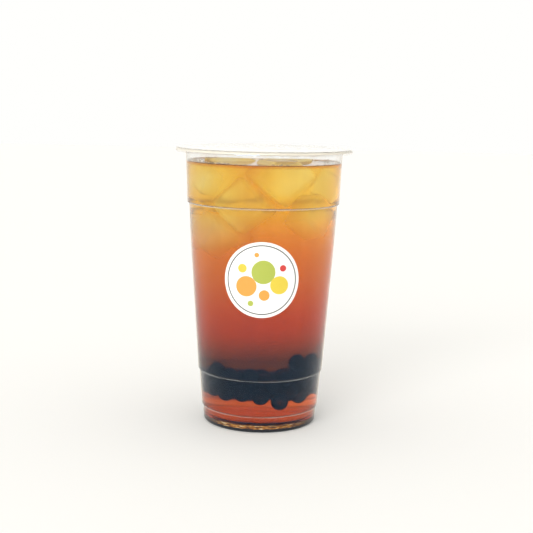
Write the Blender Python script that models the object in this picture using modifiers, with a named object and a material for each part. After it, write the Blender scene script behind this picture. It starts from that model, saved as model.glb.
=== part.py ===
"""A sealed cup of bubble tea: a thin clear cup, its film lid, the iced tea inside and a round label.

The cup is turned about Z and stands on z = 0. The label faces -Y. All sizes are in metres.
"""

import math

import bmesh
import bpy
from mathutils import Euler, Matrix, Vector

# The cup: a standard tall cup with a 95 mm rim, made for a heat-sealed film
CUP_HEIGHT = 0.150
RIM_RADIUS = 0.0475
WALL = 0.0007
GAP = 0.0003
TURN_STEPS = 64

# The film lies on the lip and gives the cup its full height
FILM_THICKNESS = 0.0003
FILM_RADIUS = 0.0472
LIP_TOP = CUP_HEIGHT - FILM_THICKNESS - GAP

# The lip: a flange that turns down at its edge
LIP_BOTTOM = 0.1475
LIP_BEND_RADIUS = 0.0007
NECK_BEND_RADIUS = 0.0036

# The wall, from the neck down: radius and height at each change of slope, with two stacking ledges
NECK_RADIUS = 0.0420
UPPER_LEDGE = 0.1200
UPPER_LEDGE_RADIUS = 0.0411
WAIST_HEIGHT = 0.1000
WAIST_RADIUS = 0.03905
LOWER_LEDGE = 0.0286
LOWER_LEDGE_RADIUS = 0.0341
FOOT_LEDGE = 0.0085
FOOT_LEDGE_RADIUS = 0.0319
LEDGE_DROP = 0.0006
UPPER_LEDGE_DEPTH = 0.0010
LOWER_LEDGE_DEPTH = 0.0007
FOOT_LEDGE_DEPTH = 0.0008

# The foot: a ring that the cup stands on, round a raised floor
FOOT_BEND_RADIUS = 0.0014
FOOT_RADIUS = 0.0308
FOOT_FLAT = 0.0026
FLOOR_EDGE_RADIUS = 0.0255
FLOOR_EDGE_HEIGHT = 0.0038
FLOOR_CENTRE_HEIGHT = 0.0044

# The drink
TEA_LEVEL = 0.142
ICE_TOP = 0.144
ICE_ROUNDING = 0.0024
ICE_ROUNDING_STEPS = 3

# The label: a round sticker, bent round the wall
LABEL_RADIUS = 0.020
LABEL_CENTRE = 0.0836
LABEL_THICKNESS = 0.0003
LABEL_RINGS = 5
LABEL_STEPS = 48

BEND_STEPS = 4
SMOOTH_ANGLE = math.radians(40)
MERGE = 0.00001
QUARTER = math.pi / 2

# Ice that breaks the surface: name, middle, edge length, and turns in degrees about X, Y and Z
ICE_PIECES = (
    ("ice_front", (0.0085, -0.0155, 0.1365), 0.0225, (8, 43, 20)),
    ("ice_back_left", (-0.0190, 0.0085, 0.1335), 0.0230, (12, 24, -35)),
    ("ice_back_right", (0.0120, 0.0170, 0.1330), 0.0225, (-16, 14, 28)),
)


def clear_scene():
    for old in list(bpy.data.objects):
        bpy.data.objects.remove(old)


def make_collection(name):
    collection = bpy.data.collections.new(name)
    bpy.context.scene.collection.children.link(collection)
    return collection


def make_material(name, colour, roughness, transmission=0.0, ior=1.5):
    material = bpy.data.materials.new(name)
    material.use_nodes = True
    shader = material.node_tree.nodes["Principled BSDF"]
    shader.inputs["Base Color"].default_value = (*colour, 1.0)
    shader.inputs["Roughness"].default_value = roughness
    shader.inputs["Metallic"].default_value = 0.0
    shader.inputs["Transmission Weight"].default_value = transmission
    shader.inputs["IOR"].default_value = ior
    return material


def make_object(name, mesh, collection, material=None):
    made = bpy.data.objects.new(name, mesh)
    collection.objects.link(made)
    if material is not None:
        mesh.materials.append(material)
    return made


def arc(centre, radius, start, end, steps=BEND_STEPS):
    """Points (radius, height) on an arc between two angles, both ends included."""
    points = []
    for i in range(steps + 1):
        angle = start + (end - start) * i / steps
        points.append((centre[0] + radius * math.cos(angle), centre[1] + radius * math.sin(angle)))
    return points


def ledge(radius, height, depth):
    """A stacking ledge, where the wall steps in on its way down."""
    return [(radius, height + LEDGE_DROP / 2), (radius - depth, height - LEDGE_DROP / 2)]


def wall_outline():
    """The cup's outer face, from the lip's edge over the neck and down the wall to the middle of the floor."""
    flange = LIP_TOP - WALL
    lip_bend = (RIM_RADIUS - WALL - LIP_BEND_RADIUS, flange - LIP_BEND_RADIUS)
    neck_bend = (NECK_RADIUS + NECK_BEND_RADIUS, flange - NECK_BEND_RADIUS)
    foot_bend = (FOOT_RADIUS - FOOT_BEND_RADIUS, FOOT_BEND_RADIUS)
    points = [(RIM_RADIUS - WALL, LIP_BOTTOM)]
    points += arc(lip_bend, LIP_BEND_RADIUS, 0, QUARTER)
    points += arc(neck_bend, NECK_BEND_RADIUS, QUARTER, 2 * QUARTER)
    points += ledge(UPPER_LEDGE_RADIUS, UPPER_LEDGE, UPPER_LEDGE_DEPTH)
    points.append((WAIST_RADIUS, WAIST_HEIGHT))
    points += ledge(LOWER_LEDGE_RADIUS, LOWER_LEDGE, LOWER_LEDGE_DEPTH)
    points += ledge(FOOT_LEDGE_RADIUS, FOOT_LEDGE, FOOT_LEDGE_DEPTH)
    points += arc(foot_bend, FOOT_BEND_RADIUS, 0, -QUARTER)
    points.append((foot_bend[0] - FOOT_FLAT, 0.0))
    points.append((FLOOR_EDGE_RADIUS, FLOOR_EDGE_HEIGHT))
    points.append((0.0, FLOOR_CENTRE_HEIGHT))
    return points


def radius_at(height):
    """The wall's outer radius at a height between the foot and the neck."""
    outline = wall_outline()
    for upper, lower in zip(outline, outline[1:]):
        if lower[1] <= height <= upper[1] and upper[1] > lower[1]:
            share = (height - lower[1]) / (upper[1] - lower[1])
            return lower[0] + share * (upper[0] - lower[0])
    raise ValueError("no wall at this height")


def moved_inwards(outline, distance):
    """The outline moved into the cup by a distance, with each corner mitred."""
    inner = []
    for i, point in enumerate(outline):
        here = Vector(point)
        before = here - Vector(outline[i - 1]) if i > 0 else None
        after = Vector(outline[i + 1]) - here if i + 1 < len(outline) else None
        sides = []
        for way in (before, after):
            if way is not None and way.length > MERGE:
                sides.append(Vector((way.y, -way.x)).normalized())
        middle = sum(sides, Vector((0, 0))).normalized()
        reach = distance / middle.dot(sides[0])
        inner.append(tuple(here + middle * reach))
    inner[-1] = (0.0, inner[-1][1])
    return inner


def tea_outline():
    """The drink from the middle of its surface out to the wall, down the wall and in along the floor."""
    inner = moved_inwards(wall_outline(), WALL + GAP)
    below = [point for point in inner if point[1] < TEA_LEVEL]
    above = inner[len(inner) - len(below) - 1]
    share = (TEA_LEVEL - below[0][1]) / (above[1] - below[0][1])
    edge = below[0][0] + share * (above[0] - below[0][0])
    return [(0.0, TEA_LEVEL), (edge, TEA_LEVEL)] + below


def turned(name, outline, collection, material):
    """An outline at +X, turned about Z."""
    mesh = bpy.data.meshes.new(name)
    shape = bmesh.new()
    corners = [shape.verts.new((radius, 0.0, height)) for radius, height in outline]
    for first, second in zip(corners, corners[1:]):
        shape.edges.new((first, second))
    bmesh.ops.remove_doubles(shape, verts=shape.verts, dist=MERGE)
    shape.to_mesh(mesh)
    shape.free()
    made = make_object(name, mesh, collection, material)
    turn = made.modifiers.new("turn", "SCREW")
    turn.axis = "Z"
    turn.steps = TURN_STEPS
    turn.render_steps = TURN_STEPS
    turn.use_merge_vertices = True
    turn.merge_threshold = MERGE
    turn.use_smooth_shade = True
    return made


def add_wall(made, thickness, offset):
    wall = made.modifiers.new("wall", "SOLIDIFY")
    wall.thickness = thickness
    wall.offset = offset
    wall.use_even_offset = True


def build_cup(collection):
    clear_plastic = make_material("clear_polypropylene", (0.93, 0.94, 0.94), 0.08, 0.95, 1.49)
    cup = turned("cup", wall_outline(), collection, clear_plastic)
    add_wall(cup, WALL, -1.0)
    return cup


def build_tea(collection):
    tea_liquid = make_material("iced_tea", (0.58, 0.16, 0.04), 0.02, 0.6, 1.33)
    return turned("tea", tea_outline(), collection, tea_liquid)


def build_film(collection):
    film_plastic = make_material("sealing_film", (0.95, 0.95, 0.94), 0.12, 0.9, 1.5)
    bpy.ops.mesh.primitive_cylinder_add(
        vertices=TURN_STEPS,
        radius=FILM_RADIUS,
        depth=FILM_THICKNESS,
        end_fill_type="TRIFAN",
        location=(0.0, 0.0, CUP_HEIGHT - FILM_THICKNESS / 2),
    )
    film = bpy.context.object
    film.name = "seal_film"
    film.data.name = "seal_film"
    film.data.materials.append(film_plastic)
    for home in list(film.users_collection):
        home.objects.unlink(film)
    collection.objects.link(film)
    film.data.shade_smooth()
    film.data.set_sharp_from_angle(angle=SMOOTH_ANGLE)
    return film


def build_label(collection):
    """A round disc in the plane of X and Z, bent round the wall about Z."""
    label_paper = make_material("coated_paper", (0.97, 0.97, 0.96), 0.35)
    mesh = bpy.data.meshes.new("label")
    shape = bmesh.new()
    spoke = [shape.verts.new((LABEL_RADIUS * i / LABEL_RINGS, 0, 0)) for i in range(LABEL_RINGS + 1)]
    edges = [shape.edges.new(pair) for pair in zip(spoke, spoke[1:])]
    bmesh.ops.spin(
        shape,
        geom=spoke + edges,
        cent=(0, 0, 0),
        axis=(0, -1, 0),
        angle=2 * math.pi,
        steps=LABEL_STEPS,
        use_merge=True,
    )
    bmesh.ops.remove_doubles(shape, verts=shape.verts, dist=MERGE)
    for corner in shape.verts:
        height = LABEL_CENTRE + corner.co.z
        radius = radius_at(height) + GAP
        angle = corner.co.x / radius
        corner.co = (radius * math.sin(angle), -radius * math.cos(angle), height)
    bmesh.ops.recalc_face_normals(shape, faces=shape.faces)
    shape.faces.ensure_lookup_table()
    if shape.faces[0].normal.y > 0:
        bmesh.ops.reverse_faces(shape, faces=shape.faces)
    shape.to_mesh(mesh)
    shape.free()
    label = make_object("label", mesh, collection, label_paper)
    add_wall(label, LABEL_THICKNESS, 1.0)
    mesh.shade_smooth()
    mesh.set_sharp_from_angle(angle=SMOOTH_ANGLE)
    return label


def ice_block(name, middle, side, turns, rounding, top, collection, material=None):
    """A cube with soft edges, turned and placed, with all that lies above top melted off."""
    mesh = bpy.data.meshes.new(name)
    shape = bmesh.new()
    bmesh.ops.create_cube(shape, size=side)
    bmesh.ops.bevel(
        shape,
        geom=shape.edges[:],
        offset=rounding,
        segments=ICE_ROUNDING_STEPS,
        profile=0.5,
        affect="EDGES",
        clamp_overlap=True,
        material=-1,
    )
    turn = Euler([math.radians(angle) for angle in turns]).to_matrix().to_4x4()
    bmesh.ops.transform(shape, matrix=Matrix.Translation(middle) @ turn, verts=shape.verts)
    cut = bmesh.ops.bisect_plane(
        shape,
        geom=shape.verts[:] + shape.edges[:] + shape.faces[:],
        plane_co=(0, 0, top),
        plane_no=(0, 0, 1),
        clear_outer=True,
    )
    rim = [item for item in cut["geom_cut"] if isinstance(item, bmesh.types.BMEdge)]
    if rim:
        bmesh.ops.contextual_create(shape, geom=rim)
    bmesh.ops.recalc_face_normals(shape, faces=shape.faces)
    shape.to_mesh(mesh)
    shape.free()
    return make_object(name, mesh, collection, material)


def build_ice(collection, cutters, tea):
    """The pieces that break the surface, each in its own hollow of the drink."""
    frozen_water = make_material("ice", (0.93, 0.95, 0.95), 0.15, 0.7, 1.31)
    for name, middle, side, turns in ICE_PIECES:
        block = ice_block(name, middle, side, turns, ICE_ROUNDING, ICE_TOP, collection, frozen_water)
        block.data.shade_smooth()
        block.data.set_sharp_from_angle(angle=SMOOTH_ANGLE)
        hollow = ice_block(
            name + "_hollow", middle, side + 2 * GAP, turns, ICE_ROUNDING + GAP, CUP_HEIGHT, cutters
        )
        hollow.hide_render = True
        hollow.display_type = "WIRE"
        make_room = tea.modifiers.new("room for " + name, "BOOLEAN")
        make_room.object = hollow
        make_room.operation = "DIFFERENCE"


def main():
    clear_scene()
    collection = make_collection("bubble_tea")
    cutters = make_collection("cutters")
    build_cup(collection)
    tea = build_tea(collection)
    build_film(collection)
    build_label(collection)
    build_ice(collection, cutters, tea)


main()
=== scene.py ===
"""The looks of a sealed cup of bubble tea: cup, film lid, tea, ice, tapioca pearls and a round label.

The cup stands on z = 0 with its label towards -Y. Sizes are in metres unless a name says otherwise.
"""

from __future__ import annotations

import logging
import math
from dataclasses import dataclass, field, replace
from enum import Enum, IntEnum
import bmesh
import bpy
import numpy as np
from mathutils import Euler, Matrix, Vector, noise


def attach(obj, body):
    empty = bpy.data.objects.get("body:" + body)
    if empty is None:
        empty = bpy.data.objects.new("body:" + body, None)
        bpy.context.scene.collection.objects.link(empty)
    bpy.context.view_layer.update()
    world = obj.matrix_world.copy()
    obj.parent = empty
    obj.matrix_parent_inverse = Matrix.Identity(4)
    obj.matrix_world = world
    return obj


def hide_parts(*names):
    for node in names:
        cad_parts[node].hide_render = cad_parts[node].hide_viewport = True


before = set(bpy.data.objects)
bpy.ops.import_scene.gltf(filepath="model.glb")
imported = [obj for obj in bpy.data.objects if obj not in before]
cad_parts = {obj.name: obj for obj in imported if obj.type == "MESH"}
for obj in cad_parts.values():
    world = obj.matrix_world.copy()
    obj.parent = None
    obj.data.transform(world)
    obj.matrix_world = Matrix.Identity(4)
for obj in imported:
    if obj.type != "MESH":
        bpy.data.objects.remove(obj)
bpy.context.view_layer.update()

LOG = logging.getLogger("bubble_tea")

MM = 0.001
FULL_TURN = 2 * math.pi
QUARTER_TURN = math.pi / 2
WELD = 0.000002
SMOOTH_ANGLE = math.radians(35)
TOUCH_VALUE = "touches"
FLAT_MAP = "sticker_flat"
MAP_MIDDLE = 0.5
MIX_SHARE, MIX_FIRST, MIX_SECOND, MIX_RESULT = 0, 6, 7, 2

Point = tuple[float, float]
Triple = tuple[float, float, float]
Colour = tuple[float, float, float, float]
Stops = tuple[tuple[float, str], ...]
Inputs = dict[str | int, object]
Material = bpy.types.Material
Node = bpy.types.Node
Tree = bpy.types.NodeTree
BMesh = bmesh.types.BMesh


class Slot(Enum):
    """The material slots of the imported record."""

    CUP = "cup_plastic"
    FILM = "film"
    TEA = "tea"
    LABEL = "label"
    ICE = "ice"
    PEARLS = "pearls"


class Touch(Enum):
    """What a face of the drink touches, as the number in its face value."""

    AIR = 0.0
    ICE = 1.0
    WALL = 2.0


class CupFace(IntEnum):
    """The cup's faces that have a finish of their own, by the number of their material."""

    DRY = 0
    WETTED = 1
    CLOUDED = 2
    # The foot's wall takes painted light, and the bend it stands on takes painted shade.
    AMBER_FOOT = 3
    DARK_FOOT = 4
    UPPER_LEDGE = 5
    LOWER_LEDGE = 6


def linear(code: str) -> Colour:
    """A colour written as sRGB hex, as linear red, green, blue and alpha.

    Args:
        code: Six hex digits after a hash sign.

    Returns:
        The linear colour with an alpha of 1.
    """
    parts = [int(code[i : i + 2], 16) / 255 for i in (1, 3, 5)]
    low_end, slope, offset, power = 0.04045, 12.92, 0.055, 2.4
    bright = [
        part / slope if part <= low_end else ((part + offset) / (1 + offset)) ** power for part in parts
    ]
    return (bright[0], bright[1], bright[2], 1.0)


def feed(node: Node, inputs: Inputs) -> None:
    """Gives a node what goes into it: a link from a socket or a node's first output, or a constant.

    Args:
        node: The node.
        inputs: Names or numbers of its inputs, each with what goes in.
    """
    for name, value in inputs.items():
        source = value.outputs[0] if isinstance(value, Node) else value
        if isinstance(source, bpy.types.NodeSocket):
            node.id_data.links.new(source, node.inputs[name])
        else:
            node.inputs[name].default_value = source


def add_node(
    tree: Tree, kind: str, inputs: Inputs | None = None, stops: Stops = (), **settings: object
) -> Node:
    """Adds one node to a tree.

    Args:
        tree: The node tree.
        kind: Blender's name of the node's type, after its "ShaderNode".
        inputs: What goes into it, as for feed().
        stops: A colour ramp's places with their sRGB hex colours, in rising order.
        **settings: Properties of the node itself.

    Returns:
        The new node.
    """
    made = tree.nodes.new("ShaderNode" + kind)
    for name, value in settings.items():
        setattr(made, name, value)
    feed(made, inputs or {})
    if stops:
        first, *between, last = stops
        elements = made.color_ramp.elements
        elements[0].position, elements[0].color = first[0], linear(first[1])
        elements[1].position, elements[1].color = last[0], linear(last[1])
        for place, code in between:
            elements.new(place).color = linear(code)
    return made


def mottle(tree: Tree, size_mm: Triple, detail: float = 2.0) -> Node:
    """A soft random pattern from 0 to 1 in a piece's own coordinates.

    Args:
        tree: The node tree.
        size_mm: The size of its patches along X, Y and Z.
        detail: How many finer layers it has.

    Returns:
        The pattern's last node.
    """
    place = add_node(tree, "TexCoord").outputs["Object"]
    scales = tuple(1 / (size * MM) for size in size_mm)
    spread = add_node(tree, "VectorMath", {0: place, 1: scales}, operation="MULTIPLY")
    return add_node(tree, "TexNoise", {"Vector": spread, "Scale": 1.0, "Detail": detail})


def new_material(name: str, inputs: Inputs) -> tuple[Material, Tree, Node]:
    """A material with constants on its shader's own sockets.

    Args:
        name: What the material is.
        inputs: The constants by the names of the sockets.

    Returns:
        The material, its node tree and its Principled shader.
    """
    material = bpy.data.materials.new(name)
    material.use_nodes = True
    shader = material.node_tree.nodes["Principled BSDF"]
    feed(shader, inputs)
    return material, material.node_tree, shader


def weld(shape: BMesh) -> None:
    """Joins the corners that lie on each other, and turns all faces outwards."""
    bmesh.ops.remove_doubles(shape, verts=shape.verts, dist=WELD)
    bmesh.ops.recalc_face_normals(shape, faces=shape.faces)


def pour(source: BMesh, target: BMesh) -> None:
    """Adds all of one bmesh to another.

    Args:
        source: The bmesh that is added, and then freed.
        target: The bmesh that gets it.
    """
    carrier = bpy.data.meshes.new("carrier")
    source.to_mesh(carrier)
    source.free()
    target.from_mesh(carrier)
    bpy.data.meshes.remove(carrier)


def make_piece(name: str, shape: BMesh, materials: list[Material]) -> bpy.types.Object:
    """Turns a finished bmesh into a piece at the origin, shaded smooth but for its sharp edges.

    Args:
        name: The piece's name.
        shape: Its mesh, which is freed.
        materials: Its materials, in the order of the faces' numbers.

    Returns:
        The new object.
    """
    mesh = bpy.data.meshes.new(name)
    shape.to_mesh(mesh)
    shape.free()
    for material in materials:
        mesh.materials.append(material)
    mesh.shade_smooth()
    mesh.set_sharp_from_angle(angle=SMOOTH_ANGLE)
    made = bpy.data.objects.new(name, mesh)
    bpy.context.scene.collection.objects.link(made)
    return made


def finish_piece(piece: bpy.types.Object, slot: Slot, *nodes: str) -> None:
    """Rides a piece on the part's one body, hides the solids that it stands for, and logs its slot.

    Args:
        piece: The finished object.
        slot: The record's slot that it stands for, which is only logged.
        *nodes: The solids that it replaces.
    """
    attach(piece, "root")
    if nodes:
        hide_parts(*nodes)
    LOG.info("%s: %d faces, %s", piece.name, len(piece.data.polygons), slot.value)


def arc(centre: Point, radius: float, start: float, end: float, steps: int) -> list[Point]:
    """Points on an arc in the plane of radius and height.

    Args:
        centre: The arc's middle.
        radius: The arc's radius.
        start: Its first angle.
        end: Its last angle.
        steps: How many straight runs stand for it.

    Returns:
        The points, both ends included.
    """
    angles = [start + (end - start) * i / steps for i in range(steps + 1)]
    return [(centre[0] + radius * math.cos(a), centre[1] + radius * math.sin(a)) for a in angles]


def spin_outline(shape: BMesh, outline: list[Point], steps: int, axis: Triple = (0, 0, 1)) -> None:
    """Turns an outline at +X once round an axis into faces.

    Args:
        shape: The bmesh that gets the faces.
        outline: Points (distance along X, height).
        steps: How many steps make the full turn.
        axis: The axis, which passes through the origin.
    """
    corners = [shape.verts.new((radius, 0.0, height)) for radius, height in outline]
    edges = [shape.edges.new(pair) for pair in zip(corners, corners[1:])]
    bmesh.ops.spin(
        shape,
        geom=corners + edges,
        cent=(0, 0, 0),
        axis=axis,
        angle=FULL_TURN,
        steps=steps,
        use_merge=True,
    )


@dataclass(frozen=True)
class ClearPolypropylene:
    """Thermoformed clear polypropylene: glossy, with light bent at every edge and ledge.

    Attributes:
        ior: Polypropylene's index of refraction.
        tint: Almost no colour of its own.
        drawn: The darker tint of the upright streaks, which are painted reflections.
        roughness: That of a smooth sheet.
        daylight: The painted cool tint of what the dry face reflects.
        bloom: The warm white of its sheen at low angles.
        lip: The white that the seal's heat leaves.
        against_drink: The share of its reflection that is left where the drink wets it.
        upper_line: How clear the upper ledge's painted highlight line is where it faces the eye, and at the
            sides.
        lower_line: The same for the lower ledges.
        painted_glow: The golden specks of painted light in the foot, from dark to bright.
        painted_glow_ends: How far from the middle the specks begin to fade, and where they end.
        painted_foot_shade: The foot's painted shade beyond them.
        foot_bend: The painted dark shade on the bend that it stands on.
    """

    ior: float = 1.49
    tint: str = "#fdfdfc"
    drawn: str = "#f4efe8"
    roughness: float = 0.03
    daylight: Triple = (0.45, 0.75, 1.2)
    bloom: str = "#ffefd8"
    lip: str = "#fff9ec"
    against_drink: float = 0.04
    upper_line: Point = (0.78, 0.7)
    lower_line: Point = (0.98, 0.7)
    painted_glow: Stops = ((0.35, "#3a2a26"), (0.47, "#8f5526"), (0.6, "#cf9238"), (0.72, "#f8e6bc"))
    painted_glow_ends: Point = (15.0 * MM, 27.0 * MM)
    painted_foot_shade: str = "#54453f"
    foot_bend: str = "#1d2430"

    def dry(self) -> Material:
        """The face in the air, whose reflection takes a painted cool tint, with faint ripples and upright
        streaks of painted reflection.

        Returns:
            The material.
        """
        look = {
            "Specular Tint": (*self.daylight, 1.0),
            "Sheen Weight": 1.0,
            "Sheen Roughness": 0.2,
            "Sheen Tint": linear(self.bloom),
        }
        material, tree, shader = new_material("clear_polypropylene_thermoformed", self.clear() | look)
        ripples = mottle(tree, size_mm=(9.0, 9.0, 9.0))
        bump = add_node(tree, "Bump", {"Height": ripples, "Strength": 0.05, "Distance": 0.3 * MM})
        # Upright streaks in the base colour are painted reflections.
        draws = mottle(tree, size_mm=(9.0, 9.0, 90.0))
        painted_streaks = add_node(tree, "ValToRGB", {0: draws}, ((0.4, self.tint), (0.68, self.drawn)))
        feed(shader, {"Normal": bump, "Base Color": painted_streaks})
        return material

    def wetted(self) -> Material:
        """The face against the drink. Plastic against water reflects almost nothing."""
        look = {"Specular Tint": (self.against_drink,) * 3 + (1.0,)}
        return new_material("clear_polypropylene_wetted", self.clear() | look)[0]

    def clouded(self) -> Material:
        """The lip, which the heat of the seal has turned whitish."""
        look = {"Base Color": linear(self.lip), "Roughness": 0.3, "Transmission Weight": 0.5}
        return new_material("clear_polypropylene_clouded", self.clear() | look)[0]

    def painted_highlight_line(self, name: str, line: Point) -> Material:
        """A painted highlight along the edge of a ledge: a thin whitish line, stronger where it runs along
        the line of sight.

        Args:
            name: The material's name.
            line: How clear it is where it faces the eye, and towards the sides.

        Returns:
            The material.
        """
        material, tree, shader = new_material(name, self.clear() | {"Roughness": 0.2})
        # Whiter at the sides: the painted highlight follows the angle of view.
        facing = add_node(tree, "LayerWeight", {"Blend": 0.5}).outputs["Facing"]
        runs = mottle(tree, size_mm=(12.0, 12.0, 12.0))
        mixed = add_node(tree, "Math", {0: runs, 1: facing}, operation="ADD")
        ends = {"From Min": 0.6, "From Max": 1.4, "To Min": line[0], "To Max": line[1]}
        share = add_node(tree, "MapRange", {"Value": mixed} | ends)
        feed(shader, {"Transmission Weight": share})
        return material

    def painted_glow_foot(self) -> Material:
        """The wall of the foot, with golden specks of painted light where light that came down through the
        tea would gather, and painted shade at its sides.

        Returns:
            The material.
        """
        look = {"Transmission Weight": 0.4}
        material, tree, shader = new_material("clear_polypropylene_foot_painted_glow", self.clear() | look)
        # Golden specks of painted light, fading towards the sides into painted shade.
        specks = add_node(tree, "ValToRGB", {0: mottle(tree, size_mm=(2.6, 2.6, 0.5))}, self.painted_glow)
        place = add_node(tree, "TexCoord").outputs["Object"]
        across = add_node(tree, "SeparateXYZ", {0: place}).outputs["X"]
        across = add_node(tree, "Math", {0: across}, operation="ABSOLUTE")
        ends = {"From Min": self.painted_glow_ends[0], "From Max": self.painted_glow_ends[1]}
        fade = add_node(tree, "MapRange", {"Value": across} | ends)
        parts = {MIX_SHARE: fade, MIX_FIRST: specks, MIX_SECOND: linear(self.painted_foot_shade)}
        colour = add_node(tree, "Mix", parts, data_type="RGBA")
        feed(shader, {"Base Color": colour.outputs[MIX_RESULT]})
        return material

    def painted_shade_foot(self) -> Material:
        """The bend that the cup stands on, with a painted dark shade."""
        # Painted dark shade on the bend.
        look = {"Base Color": linear(self.foot_bend), "Transmission Weight": 0.5}
        return new_material("clear_polypropylene_foot_painted_shade", self.clear() | look)[0]

    def clear(self) -> Inputs:
        """What the shaders of all faces begin with."""
        look = {"Base Color": linear(self.tint), "Roughness": self.roughness}
        return look | {"IOR": self.ior, "Transmission Weight": 1.0}


@dataclass(frozen=True)
class BrewedTea:
    """Clear brewed tea: it takes blue light first, so a deep glass of it glows amber.

    Attributes:
        ior: Water's index of refraction.
        absorbs: The colour that a metre of it leaves, of which density sets the strength.
        density: Per metre.
        haze: The roughness of the faces behind the wall.
        surface: The colour that the open surface scatters.
        clear_surface: The share of light that goes through the open surface.
        against_wall: The share of its reflection that is left behind the wall.
        painted_shade_lean: How far the syrup's layers slope down towards -X, most at the floor, which leaves
            the +X side darker as painted shade.
        syrup_and_painted_shades: Heights in millimetres with the colour added there: the syrup's own layers,
            painted shade over the pearls, and a painted dark line at the drink's edge.
    """

    ior: float = 1.333
    absorbs: str = "#fdea50"
    density: float = 64.0
    haze: float = 0.18
    surface: str = "#f6cf80"
    clear_surface: float = 0.5
    against_wall: float = 0.04
    painted_shade_lean: float = 0.13
    syrup_and_painted_shades: Stops = (
        (5.0, "#f09578"),
        (13.0, "#ee8e68"),
        (18.0, "#cb6c50"),
        # Painted shade over the pearls, from here to about 44 mm.
        (22.0, "#7c4b38"),
        (26.5, "#453530"),
        (31.0, "#4b3530"),
        (35.5, "#694230"),
        (40.0, "#8b4b30"),
        (44.0, "#a45035"),
        (49.0, "#af5638"),
        (53.0, "#b5583c"),
        (57.0, "#bc5c42"),
        (61.0, "#c2664b"),
        (71.0, "#cd7c59"),
        (79.5, "#d48e6c"),
        (87.0, "#db9b7e"),
        (94.0, "#e2aa90"),
        (103.5, "#ebc4bc"),
        (112.0, "#f2e2e5"),
        (120.0, "#fcfdff"),
        (140.6, "#fcfdff"),
        # A painted dark line where the drink's edge meets the wall.
        (141.6, "#d9a866"),
        (142.6, "#b98549"),
    )

    def material(self) -> Material:
        """The drink's shader: one for all its faces, so that its absorption begins and ends at each of them.

        A face value tells what a face touches. The open surface is glossy and scatters half of the light.
        A face behind the wall is slightly hazy and takes the syrup's colour with its painted shade. One round
        the ice leaves the bending of light to the ice.

        Returns:
            The material.
        """
        material, tree, shader = new_material("brewed_tea_clear", {"IOR": self.ior})
        touches = add_node(tree, "Attribute", attribute_name=TOUCH_VALUE).outputs["Fac"]
        over_air = (Touch.AIR.value + Touch.ICE.value) / 2
        over_ice = (Touch.ICE.value + Touch.WALL.value) / 2
        wetted = add_node(tree, "Math", {0: touches, 1: over_air}, operation="GREATER_THAN")
        at_wall = add_node(tree, "Math", {0: touches, 1: over_ice}, operation="GREATER_THAN")
        at_ice = add_node(tree, "Math", {0: wetted, 1: at_wall}, operation="SUBTRACT")
        top = self.syrup_and_painted_shades[-1][0]
        stops = tuple((height / top, code) for height, code in self.syrup_and_painted_shades)
        # The syrup's layers and the painted shade, by height.
        syrup = add_node(tree, "ValToRGB", {0: self.layer(tree, top * MM)}, stops)
        parts = {MIX_SHARE: at_wall, MIX_FIRST: linear(self.surface), MIX_SECOND: syrup}
        shade = add_node(tree, "Mix", parts, data_type="RGBA")
        quiet = (self.against_wall,) * 3 + (1.0,)
        parts = {MIX_SHARE: at_wall, MIX_FIRST: linear("#ffffff"), MIX_SECOND: quiet}
        reflects = add_node(tree, "Mix", parts, data_type="RGBA")
        blur = add_node(tree, "Math", {0: at_wall, 1: self.haze}, operation="MULTIPLY")
        clear = add_node(tree, "MapRange", {"Value": wetted, "To Min": self.clear_surface})
        feed(shader, {"Base Color": shade.outputs[MIX_RESULT], "Specular Tint": reflects.outputs[MIX_RESULT]})
        feed(shader, {"Roughness": blur, "Transmission Weight": clear})
        through = add_node(tree, "BsdfTransparent")
        surface = add_node(tree, "MixShader", {0: at_ice, 1: shader, 2: through})
        depth = add_node(tree, "VolumeAbsorption", {"Color": linear(self.absorbs), "Density": self.density})
        feed(tree.nodes["Material Output"], {"Surface": surface, "Volume": depth})
        return material

    def layer(self, tree: Tree, top: float) -> Node:
        """Where a point lies in the syrup's layers, from 0 at the floor to 1 at the top, sloped so that the
        +X side takes painted shade.

        Args:
            tree: The node tree.
            top: The height of the last layer.

        Returns:
            The last node of the sum.
        """
        place = add_node(tree, "TexCoord").outputs["Object"]
        along = add_node(tree, "SeparateXYZ", {0: place}).outputs
        level = add_node(tree, "Math", {0: along["Z"], 1: top}, operation="DIVIDE")
        under = add_node(tree, "Math", {0: 1.0, 1: level}, operation="SUBTRACT", use_clamp=True)
        # The slope towards -X paints shade on the +X side.
        aside = add_node(tree, "Math", {0: along["X"], 1: -self.painted_shade_lean / top}, operation="MULTIPLY")
        parts = {0: aside, 1: under, 2: level}
        return add_node(tree, "Math", parts, operation="MULTIPLY_ADD", use_clamp=True)


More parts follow.
